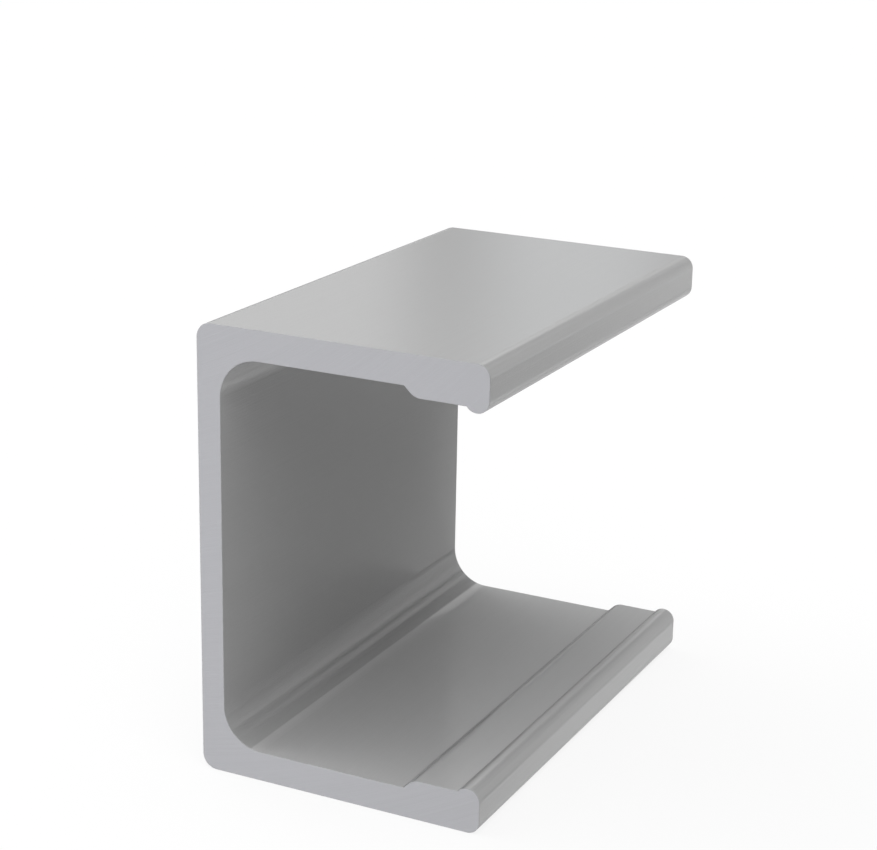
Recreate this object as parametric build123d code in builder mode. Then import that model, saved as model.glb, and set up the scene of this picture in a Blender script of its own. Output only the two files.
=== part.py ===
"""Guide channel: a short length of extruded aluminium C-section, standing on its lower flange.

The section is a web with two flanges. Towards its free end each flange steps up to a thicker, flat
raceway, and a round-nosed bead along the lip keeps a roller on it. One solid, cut square at both ends.

Frame, in millimetres: +X across the flanges, from the web's back to the open side; +Y along the
length; +Z up. The origin is the middle of the footprint, under the lower flange.
"""

import os
from math import radians, sqrt, tan

from build123d import *

# The whole section
height = 90.0  # over both flanges
width = 60.0  # from the web's back to the faces of the lips
length = 100.0  # between the two saw cuts

# Walls and their roundings
web_thickness = 5.0
flange_thickness = 6.0  # of the plain part of each flange, next to the web
back_corner_radius = 3.0  # outside, where web and flange meet
root_fillet_radius = 8.0  # inside, where web and flange meet

# The thick end of each flange
raceway_rise = 2.0  # of the raceway above the plain flange
lower_raceway_width = 15.8  # from the foot of the step to the lip's face
upper_raceway_width = 16.8
step_angle = 45.0  # of the step's slope, in degrees from the flange
step_round_radius = 3.0  # where the slope turns into the raceway
bead_rise = 1.0  # of the bead's crown above the raceway
bead_radius = 2.5  # of the bead's nose, which runs out into the lip's face
lip_corner_radius = 2.5  # outside, under the lip's face


def flange_end(raceway_width: float) -> Sketch:
    """Thick end of the lower flange, measured from the web's back: step, raceway, bead and lip."""
    raceway_level = flange_thickness + raceway_rise
    step_foot = (width - raceway_width, flange_thickness)
    step_crest = (step_foot[0] + raceway_rise / tan(radians(step_angle)), raceway_level)
    bead_centre_x = width - bead_radius
    bead_crown = raceway_level + bead_rise
    bead_half_chord = sqrt(bead_radius**2 - (bead_radius - bead_rise) ** 2)
    bead_foot = (bead_centre_x - bead_half_chord, raceway_level)
    lip_top = (width, bead_crown - bead_radius)
    with BuildSketch() as end:
        with BuildLine():
            Polyline((step_foot[0], 0), step_foot, step_crest, bead_foot)
            ThreePointArc(bead_foot, (bead_centre_x, bead_crown), lip_top)
            Polyline(lip_top, (width, 0), (step_foot[0], 0))
        make_face()
        crest_corner = end.vertices().sort_by_distance(step_crest)[0]
        fillet(crest_corner, step_round_radius)
        lip_corner = end.vertices().sort_by_distance((width, 0))[0]
        fillet(lip_corner, lip_corner_radius)
    return end.sketch


# The section's own axes start at the web's back, level with the lower flange's underside.
section_plane = Plane(origin=(-width / 2, length / 2, 0), x_dir=(1, 0, 0), z_dir=(0, -1, 0))
section_middle = Plane.XZ.offset(-height / 2)
corner = (Align.MIN, Align.MIN)

with BuildPart() as channel:
    with BuildSketch(section_plane) as section:
        Rectangle(web_thickness, height, align=corner)
        Rectangle(width - lower_raceway_width, flange_thickness, align=corner)
        with Locations((0, height - flange_thickness)):
            Rectangle(width - upper_raceway_width, flange_thickness, align=corner)
        add(flange_end(lower_raceway_width))
        mirror(flange_end(upper_raceway_width), about=section_middle)
        root_corners = section.vertices().group_by(Axis.X)[1]
        fillet(root_corners, root_fillet_radius)
        back_corners = section.vertices().group_by(Axis.X)[0]
        fillet(back_corners, back_corner_radius)
    extrude(amount=length)

channel.part.label = "channel"

os.makedirs("parts", exist_ok=True)
export_step(channel.part, "parts/channel.step")
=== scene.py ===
"""Scene for the metal channel section: satin extruded aluminium on a pale floor, in soft studio light.

Metres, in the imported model's frame: +X towards the channel's open side, +Y along its length, +Z up.
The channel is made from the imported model's own shape, with its sawn edges broken. Bearings are turned
from +Y towards -X, in degrees, and elevations are above the horizon.
"""

from math import cos, pi, radians, sin

import bmesh
import bpy
from mathutils import Matrix, Vector


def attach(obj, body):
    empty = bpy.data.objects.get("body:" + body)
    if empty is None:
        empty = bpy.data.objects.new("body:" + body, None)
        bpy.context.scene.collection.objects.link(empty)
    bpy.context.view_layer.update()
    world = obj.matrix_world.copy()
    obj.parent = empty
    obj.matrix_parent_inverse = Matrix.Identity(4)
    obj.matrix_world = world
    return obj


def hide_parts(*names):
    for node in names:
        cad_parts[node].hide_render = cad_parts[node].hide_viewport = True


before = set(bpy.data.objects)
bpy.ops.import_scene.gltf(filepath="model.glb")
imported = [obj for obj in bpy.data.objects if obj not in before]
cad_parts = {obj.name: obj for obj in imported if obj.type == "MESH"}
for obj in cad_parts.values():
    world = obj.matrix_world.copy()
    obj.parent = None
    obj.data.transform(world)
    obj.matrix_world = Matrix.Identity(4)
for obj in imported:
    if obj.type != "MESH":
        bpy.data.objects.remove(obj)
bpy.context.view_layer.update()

IMAGE_WIDTH = 877  # pixels of the render
IMAGE_HEIGHT = 850
MILLIMETRES = 1000.0  # in a metre

# Camera, in metres and degrees
CAMERA_PLACE = (0.17928, -0.36760, 0.18768)
CAMERA_BEARING = 25.176
CAMERA_TILT = 17.152  # below the horizon
CAMERA_ROLL = 1.479
FOCAL_PIXELS = 2117.1
OPTICAL_AXIS = (489.27, 424.92)  # pixel of the render that the lens's axis passes through
SENSOR_WIDTH = 36.0  # in millimetres
NEAREST_SEEN = 0.01

# The channel's mesh
EDGE_BREAK = 0.00012  # width of the deburred edge round each saw cut
EDGE_SEGMENTS = 2
EDGE_PROFILE = 0.5  # a quarter circle
SAME_POINT = 1e-6  # points nearer than this are one
SAME_PLACE = 6  # decimals by which places in the section are told apart
FLAT = radians(0.5)  # faces that meet at less are one face
SAWN_CORNER = radians(80)  # edges that turn more are the rims of the saw cuts
SAWN_NORMAL = 0.5  # faces that look further along the length than this are the saw cuts

# Satin anodised aluminium: a matt, etched metal under a thin clear skin of oxide
METAL_COLOUR = (0.6, 0.6, 0.6)
METAL_ROUGHNESS = 0.95
SKIN_ROUGHNESS = 0.15
SKIN_IOR = 1.5

# Marks on its surface: how many to a millimetre, and how many finer levels of them
DIE_LINES = (2.2, 5.0)
FINE_DIE_LINES = (9.0, 2.0)
SAW_MARKS = (1.6, 4.0)
SAW_GRAIN = (5.0, 3.0)
CLOUDS = (0.05, 2.0)
FINER_SHARE = 0.6  # strength of each finer level next to the one before
FINE_LINE_SHARE = 0.4  # of the fine lines in the die lines
GRAIN_SHARE = 0.3  # of the grain in the saw's marks
DIE_LINE_LENGTH = 400.0  # how much longer than wide the die lines are
BLADE_CENTRE = (-70.0, 0.0, 185.0)  # of the circular saw, for both cuts, in millimetres
SAWN_FACING = (0.5, 0.9)  # how far along the length it looks where the saw's marks begin, and are full

# How far marks and clouds lighten or darken the metal, as a share of its colour, and their depth
MARK_SHADE = 0.07
CLOUD_SHADE = 0.02
MARK_ROUGHNESS = 0.05
CLOUD_ROUGHNESS = 0.03
MARK_DEPTH = 0.0001  # in metres
SKIN_DEPTH = 0.000006  # of the same marks, as the skin fills them

# Painted light and shade that run along the channel at places of the section, in millimetres. Each
# lightens or darkens the metal by a share of its colour. First bands of painted shade on the flanks of
# the steps and beads that face the web, and on the raceways: X from and to, Z from and to, and share
PAINTED_SHADE_BANDS = {
    "lower step": (14.05, 18.0, 6.0, 7.8, -0.5),
    "lower raceway": (16.5, 25.4, 7.8, 8.2, -0.03),
    "lower bead": (25.4, 27.0, 8.0, 8.85, -0.5),
    "upper step": (13.05, 17.0, 82.2, 84.0, -0.5),
    "upper raceway": (15.5, 25.4, 81.8, 82.2, -0.03),
    "upper bead": (25.4, 27.0, 81.15, 82.0, -0.5),
}
BAND_SOFT = 0.2  # half the width of a band's edge

# Then painted light on the inner faces of both flanges, which are lighter from a sharp line on, at the
# foot of the root fillets, and fade towards the lips; the narrow streak by that line is a painted
# reflection.
# X where the tone ends, and share
PAINTED_LIGHT_FADES = {"painted reflection streak": (-16.5, 0.08), "inner face": (24.0, 0.12)}
FILLET_FOOT = -19.1
SECTION_MIDDLE = 45.0  # Z
INNER_FACES = (38.0, 40.0)  # distances from the middle that these faces lie between

# Floor: mostly white of its own, with as much lit colour as keeps the object's shadow
FLOOR_SIZE = 6.0
FLOOR_WHITE = 0.85
FLOOR_COLOUR = (0.12, 0.12, 0.12)

# Soft lights all round, seen from the object: bearing and elevation of the middle, how tightly the
# light is gathered there, strength and colour
WHITE = (1.0, 1.0, 1.0)
COOL = (0.96, 0.965, 1.05)
SOFT_LIGHTS = {
    "overhead": (-80, 80, 12.0, 3.2, WHITE),
    "below": (-50, -75, 12.0, 3.2, WHITE),
    "front left": (150, -15, 12.0, 3.25, COOL),
    "behind": (0, -15, 12.0, 0.9, WHITE),
    "front right": (-135, 50, 12.0, 2.35, WHITE),
    "low right": (-115, -25, 12.0, 1.65, WHITE),
    "left": (90, 35, 9.0, 4.1, WHITE),
}

# Pale cards behind the object, which its glossy skin mirrors: bearings from and to, their soft edge,
# elevations from and to, their soft edge, strength and colour
CARDS = {
    "wide card": (27.6, 50, 1.2, 6, 35, 4, 0.42, WHITE),
    "narrow card": (20.6, 25.2, 1.5, 0, 20, 3, 0.38, (0.96, 1.0, 1.02)),
    "high card": (9.5, 27, 2.5, 24.5, 38, 2, 0.75, WHITE),
    "middle card": (-21, 19, 3, 17, 27, 2.5, 0.40, WHITE),
    "right card": (-40, -17, 2, -14, 20, 3, 0.65, WHITE),
    "bright strip": (-36, -29, 2, 9, 22, 2, 0.35, WHITE),
    "small card": (-25, -15, 2, 24, 33, 3, 0.80, WHITE),
    "low card": (-28, -16, 2, -36, -18.5, 2, 0.50, WHITE),
    "edge card": (27, 38, 2, -14, 7, 2, 0.15, WHITE),
}


def direction(bearing, elevation):
    """Unit vector towards a bearing and an elevation in degrees."""
    b, e = radians(bearing), radians(elevation)
    return Vector((-sin(b) * cos(e), cos(b) * cos(e), sin(e)))


class Graph:
    """Builds a node tree: each call adds a node and returns its output."""

    def __init__(self, tree):
        self.tree = tree

    def node(self, kind, settings=None, inputs=None):
        made = self.tree.nodes.new(kind)
        for key, value in (settings or {}).items():
            setattr(made, key, value)
        for key, value in (inputs or {}).items():
            if isinstance(value, bpy.types.NodeSocket):
                self.tree.links.new(value, made.inputs[key])
            else:
                made.inputs[key].default_value = value
        return made

    def math(self, operation, *values, name=""):
        settings = {"operation": operation, "label": name}
        return self.node("ShaderNodeMath", settings, dict(enumerate(values))).outputs[0]

    def vector(self, operation, *values, scale=None):
        inputs = dict(enumerate(values))
        if scale is not None:
            inputs["Scale"] = scale
        made = self.node("ShaderNodeVectorMath", {"operation": operation}, inputs)
        return made.outputs["Value" if operation in ("DOT_PRODUCT", "LENGTH") else "Vector"]

    def noise(self, place, scale, detail):
        inputs = {"Vector": place, "Scale": scale, "Detail": detail, "Roughness": FINER_SHARE}
        return self.node("ShaderNodeTexNoise", inputs=inputs).outputs["Fac"]

    def blend(self, share, first, second):
        """The first value, giving way to the second by a share from 0 to 1."""
        return self.math("MULTIPLY_ADD", self.math("SUBTRACT", second, first), share, first)

    def swing(self, noise, reach):
        """Noise from 0 to 1 turned into a swing about 0 of up to a reach."""
        return self.math("MULTIPLY", self.math("SUBTRACT", noise, 0.5), 2 * reach)

    def ramp(self, value, low, high, to_low=0.0, to_high=1.0):
        """Smooth step of a value from one level to another."""
        inputs = {"Value": value, "From Min": low, "From Max": high, "To Min": to_low, "To Max": to_high}
        made = self.node("ShaderNodeMapRange", {"interpolation_type": "SMOOTHSTEP"}, inputs)
        return made.outputs["Result"]

    def band(self, value, low, high, soft):
        """1 between low and high, 0 outside, with soft edges."""
        rise = self.ramp(value, low - soft, low + soft)
        fall = self.ramp(value, high - soft, high + soft, 1.0, 0.0)
        return self.math("MULTIPLY", rise, fall)


def build_world():
    """Soft lights and cards round the object; the camera, also through glass, sees plain white."""
    world = bpy.data.worlds.new("studio")
    bpy.context.scene.world = world
    world.use_nodes = True
    tree = world.node_tree
    tree.nodes.clear()
    g = Graph(tree)
    towards = g.node("ShaderNodeTexCoord").outputs["Generated"]
    x, y, z = g.node("ShaderNodeSeparateXYZ", inputs={0: towards}).outputs
    bearing = g.math("DEGREES", g.math("ARCTAN2", g.math("MULTIPLY", x, -1.0), y))
    elevation = g.math("DEGREES", g.math("ARCSINE", z))

    total = (0.0, 0.0, 0.0)
    for name, (around, above, gather, strength, colour) in SOFT_LIGHTS.items():
        facing = g.vector("DOT_PRODUCT", towards, direction(around, above))
        fall = g.math("EXPONENT", g.math("MULTIPLY", g.math("SUBTRACT", facing, 1.0), gather))
        glow = g.math("MULTIPLY", fall, strength, name=name)
        total = g.vector("ADD", total, g.vector("SCALE", colour, scale=glow))
    for name, (left, right, side_soft, low, high, soft, strength, colour) in CARDS.items():
        across = g.band(bearing, left, right, side_soft)
        shape = g.math("MULTIPLY", across, g.band(elevation, low, high, soft))
        glow = g.math("MULTIPLY", shape, strength, name=name)
        total = g.vector("ADD", total, g.vector("SCALE", colour, scale=glow))

    light = g.node("ShaderNodeBackground", inputs={"Color": total, "Strength": 1.0})
    seen = g.node("ShaderNodeBackground", inputs={"Color": (*WHITE, 1), "Strength": 1.0})
    rays = g.node("ShaderNodeLightPath").outputs
    is_seen = g.math("MAXIMUM", rays["Is Camera Ray"], rays["Is Transmission Ray"])
    inputs = {0: is_seen, 1: light.outputs[0], 2: seen.outputs[0]}
    mixed = g.node("ShaderNodeMixShader", inputs=inputs)
    g.node("ShaderNodeOutputWorld", inputs={"Surface": mixed.outputs[0]})


def surface_marks(g, place, facing, sawn):
    """Noise of the die's lines along the sides, and of the saw's arcs and grain on the ends."""
    along = g.vector("MULTIPLY", place, (1.0, 1.0 / DIE_LINE_LENGTH, 1.0))
    die_lines = g.blend(FINE_LINE_SHARE, g.noise(along, *DIE_LINES), g.noise(along, *FINE_DIE_LINES))
    from_blade = g.vector("MULTIPLY", g.vector("SUBTRACT", place, BLADE_CENTRE), (1.0, 0.0, 1.0))
    arcs = g.node("ShaderNodeCombineXYZ", inputs={0: g.vector("LENGTH", from_blade), 1: facing})
    saw_marks = g.noise(arcs.outputs[0], *SAW_MARKS)
    return g.blend(sawn, die_lines, g.blend(GRAIN_SHARE, saw_marks, g.noise(place, *SAW_GRAIN)))


def painted_light_and_shade(g, across, up):
    """Sum of the bands' painted shade and the fades' painted light at a place in the section."""
    from_middle = g.math("ABSOLUTE", g.math("SUBTRACT", up, SECTION_MIDDLE))
    line = g.ramp(across, FILLET_FOOT - BAND_SOFT, FILLET_FOOT + BAND_SOFT)
    on_inner_face = g.math("MULTIPLY", g.band(from_middle, *INNER_FACES, BAND_SOFT), line)
    painted_tones = 0.0
    for name, (end, share) in PAINTED_LIGHT_FADES.items():
        fade = g.ramp(across, FILLET_FOOT, end, share, 0.0)
        painted_tones = g.math("MULTIPLY_ADD", fade, on_inner_face, painted_tones, name=name)
    for name, (left, right, low, high, share) in PAINTED_SHADE_BANDS.items():
        beside = g.math("MULTIPLY", g.band(across, left, right, BAND_SOFT), share, name=name)
        painted_tones = g.math("MULTIPLY_ADD", beside, g.band(up, low, high, BAND_SOFT), painted_tones)
    return painted_tones


def build_metal():
    """Satin aluminium, with its marks in colour, roughness and relief, and painted light and shade along
    its sides.
    """
    material = bpy.data.materials.new("satin aluminium")
    material.use_nodes = True
    tree = material.node_tree
    shader = tree.nodes["Principled BSDF"]
    g = Graph(tree)
    coordinates = g.node("ShaderNodeTexCoord").outputs
    place = g.vector("SCALE", coordinates["Object"], scale=MILLIMETRES)
    across, _, up = g.node("ShaderNodeSeparateXYZ", inputs={0: place}).outputs
    _, facing, _ = g.node("ShaderNodeSeparateXYZ", inputs={0: coordinates["Normal"]}).outputs
    sawn = g.ramp(g.math("ABSOLUTE", facing), *SAWN_FACING)
    marks = surface_marks(g, place, facing, sawn)
    clouds = g.noise(place, *CLOUDS)
    # painted shade on the flanks and raceways, painted light and reflection on the flanges' inner faces;
    # none on the saw cuts
    painted_tones = g.blend(sawn, painted_light_and_shade(g, across, up), 0.0)

    shade = g.math("ADD", g.swing(marks, MARK_SHADE), g.swing(clouds, CLOUD_SHADE))
    tone = g.math("MULTIPLY", g.math("ADD", shade, 1.0), g.math("ADD", painted_tones, 1.0))
    roughness = g.math("ADD", g.swing(marks, MARK_ROUGHNESS), g.swing(clouds, CLOUD_ROUGHNESS))
    relief = g.node("ShaderNodeBump", inputs={"Height": marks, "Distance": MARK_DEPTH})
    skin_relief = g.node("ShaderNodeBump", inputs={"Height": marks, "Distance": SKIN_DEPTH})
    tree.links.new(g.vector("SCALE", METAL_COLOUR, scale=tone), shader.inputs["Base Color"])
    tree.links.new(g.math("ADD", roughness, METAL_ROUGHNESS), shader.inputs["Roughness"])
    tree.links.new(relief.outputs["Normal"], shader.inputs["Normal"])
    tree.links.new(skin_relief.outputs["Normal"], shader.inputs["Coat Normal"])
    shader.inputs["Metallic"].default_value = 1.0
    shader.inputs["Coat Weight"].default_value = 1.0
    shader.inputs["Coat Roughness"].default_value = SKIN_ROUGHNESS
    shader.inputs["Coat IOR"].default_value = SKIN_IOR
    return material


def section_point(point):
    """Place of a point in the section, as a key."""
    return round(point.x, SAME_PLACE), round(point.z, SAME_PLACE)


def known_normals(mesh):
    """For each point of the section: the sides that meet there, each with its shading normal."""
    known = {}
    for face in mesh.polygons:
        if abs(face.normal.y) > SAWN_NORMAL:
            continue
        for k in face.loop_indices:
            place = section_point(mesh.vertices[mesh.loops[k].vertex_index].co)
            shading = mesh.corner_normals[k].vector.copy()
            known.setdefault(place, []).append((face.normal.copy(), shading))
    return known


def build_channel(node, material):
    """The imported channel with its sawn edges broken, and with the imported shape's own shading."""
    shape = bmesh.new()
    shape.from_mesh(node.data)
    bmesh.ops.remove_doubles(shape, verts=shape.verts, dist=SAME_POINT)
    bmesh.ops.dissolve_limit(shape, angle_limit=FLAT, verts=shape.verts, edges=shape.edges)
    rims = [edge for edge in shape.edges if edge.calc_face_angle() > SAWN_CORNER]
    bmesh.ops.bevel(
        shape,
        geom=rims,
        offset=EDGE_BREAK,
        offset_type="OFFSET",
        segments=EDGE_SEGMENTS,
        profile=EDGE_PROFILE,
        affect="EDGES",
    )
    for face in shape.faces:
        face.smooth = True
    mesh = bpy.data.meshes.new("channel_section")
    shape.to_mesh(mesh)
    shape.free()

    known = known_normals(node.data)
    end = max(vertex.co.y for vertex in mesh.vertices)
    normals = [None] * len(mesh.loops)
    rounding = {}
    for face in mesh.polygons:
        for k in face.loop_indices:
            index = mesh.loops[k].vertex_index
            point = mesh.vertices[index].co
            if abs(point.y) > end - SAME_POINT:
                normals[k] = Vector((0, 1 if point.y > 0 else -1, 0))
            elif section_point(point) in known:
                sides = known[section_point(point)]
                normals[k] = min(sides, key=lambda side: (side[0] - face.normal).length)[1]
            else:
                rounding[index] = rounding.get(index, Vector()) + face.normal
    for k, loop in enumerate(mesh.loops):
        if normals[k] is None:
            normals[k] = rounding[loop.vertex_index].normalized()
    mesh.normals_split_custom_set(normals)
    mesh.materials.append(material)

    piece = bpy.data.objects.new("channel_section", mesh)
    bpy.context.scene.collection.objects.link(piece)
    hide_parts("channel")
    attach(piece, "root")


def build_floor():
    """White floor with a faint shadow. The object doesn't see it: its light comes from all round."""
    bpy.ops.mesh.primitive_plane_add(size=FLOOR_SIZE)
    floor = bpy.context.object
    floor.name = "floor"
    floor.visible_diffuse = False
    floor.visible_glossy = False
    floor.visible_shadow = False
    material = bpy.data.materials.new("pale floor")
    material.use_nodes = True
    tree = material.node_tree
    shader = tree.nodes["Principled BSDF"]
    shader.inputs["Base Color"].default_value = (*FLOOR_COLOUR, 1)
    shader.inputs["Roughness"].default_value = 1.0
    shader.inputs["Specular IOR Level"].default_value = 0.0
    shader.inputs["Emission Color"].default_value = (*WHITE, 1)
    shader.inputs["Emission Strength"].default_value = FLOOR_WHITE
    floor.data.materials.append(material)


def build_camera():
    """Camera at the photograph's viewing angle."""
    data = bpy.data.cameras.new("camera")
    camera = bpy.data.objects.new("camera", data)
    bpy.context.scene.collection.objects.link(camera)
    turn = Matrix.Rotation(radians(CAMERA_BEARING), 4, "Z")
    turn @= Matrix.Rotation(pi / 2 - radians(CAMERA_TILT), 4, "X")
    turn @= Matrix.Rotation(radians(CAMERA_ROLL), 4, "Z")
    camera.matrix_world = Matrix.Translation(CAMERA_PLACE) @ turn
    data.sensor_width = SENSOR_WIDTH
    data.lens = FOCAL_PIXELS * SENSOR_WIDTH / IMAGE_WIDTH
    data.shift_x = (IMAGE_WIDTH / 2 - OPTICAL_AXIS[0]) / IMAGE_WIDTH
    data.shift_y = (OPTICAL_AXIS[1] - IMAGE_HEIGHT / 2) / IMAGE_WIDTH
    data.clip_start = NEAREST_SEEN
    bpy.context.scene.camera = camera


build_channel(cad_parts["channel"], build_metal())
build_floor()
build_world()
build_camera()
bpy.context.scene.view_settings.view_transform = "Standard"
